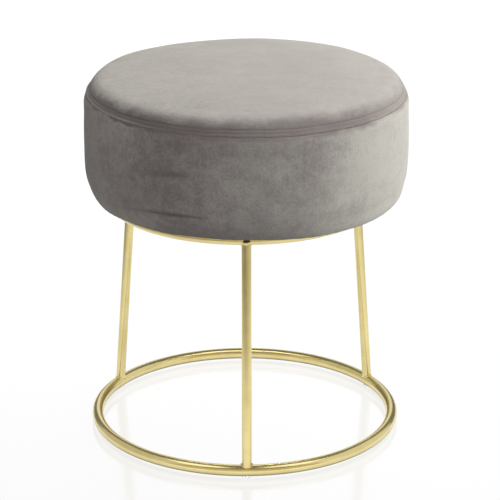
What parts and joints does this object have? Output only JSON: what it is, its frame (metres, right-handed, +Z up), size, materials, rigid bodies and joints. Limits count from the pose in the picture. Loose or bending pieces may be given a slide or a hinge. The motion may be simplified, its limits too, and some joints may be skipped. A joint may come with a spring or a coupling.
{
  "type": "round upholstered stool",
  "caption": "Round upholstered stool: a thick velvet drum seat bolted to an open welded frame of pale gold tube, with a ring under the seat, leaning legs and a ring on the floor.",
  "frame": {"origin": "on the floor, on the stool's axis", "axes": "+Z up along the stool's axis, -Y towards the front leg, +X to the right seen from the front"},
  "size_m": [0.35, 0.3498, 0.4],
  "materials": {
    "satin_gold": "satin pale gold plating over steel tube",
    "zinc_steel": "zinc plated",
    "glide_plastic": "clear soft plastic",
    "plywood": "raw plywood and softwood",
    "hardboard": "raw hardboard",
    "foam": "open-cell foam",
    "velvet": "short-pile velvet, grey taupe",
    "nonwoven": "white non-woven cloth"
  },
  "bodies": {
    "root": {"base_board": "plywood", "base_ring": "satin_gold", "bolt_washers": "zinc_steel", "drum_hoop": "hardboard", "drum_posts": "plywood", "drum_screws": "zinc_steel", "dust_cover": "nonwoven", "glide_front": "glide_plastic", "glide_rear_left": "glide_plastic", "glide_rear_right": "glide_plastic", "leg_front": "satin_gold", "leg_rear_left": "satin_gold", "leg_rear_right": "satin_gold", "mounting_bolts": "zinc_steel", "mounting_tab_front": "satin_gold", "mounting_tab_rear_left": "satin_gold", "mounting_tab_rear_right": "satin_gold", "seat_foam_pad": "foam", "side_band": "velvet", "side_foam_wrap": "foam", "t_nuts": "zinc_steel", "top_board": "plywood", "top_cover": "velvet", "top_ring": "satin_gold"}
  },
  "joints": []
}
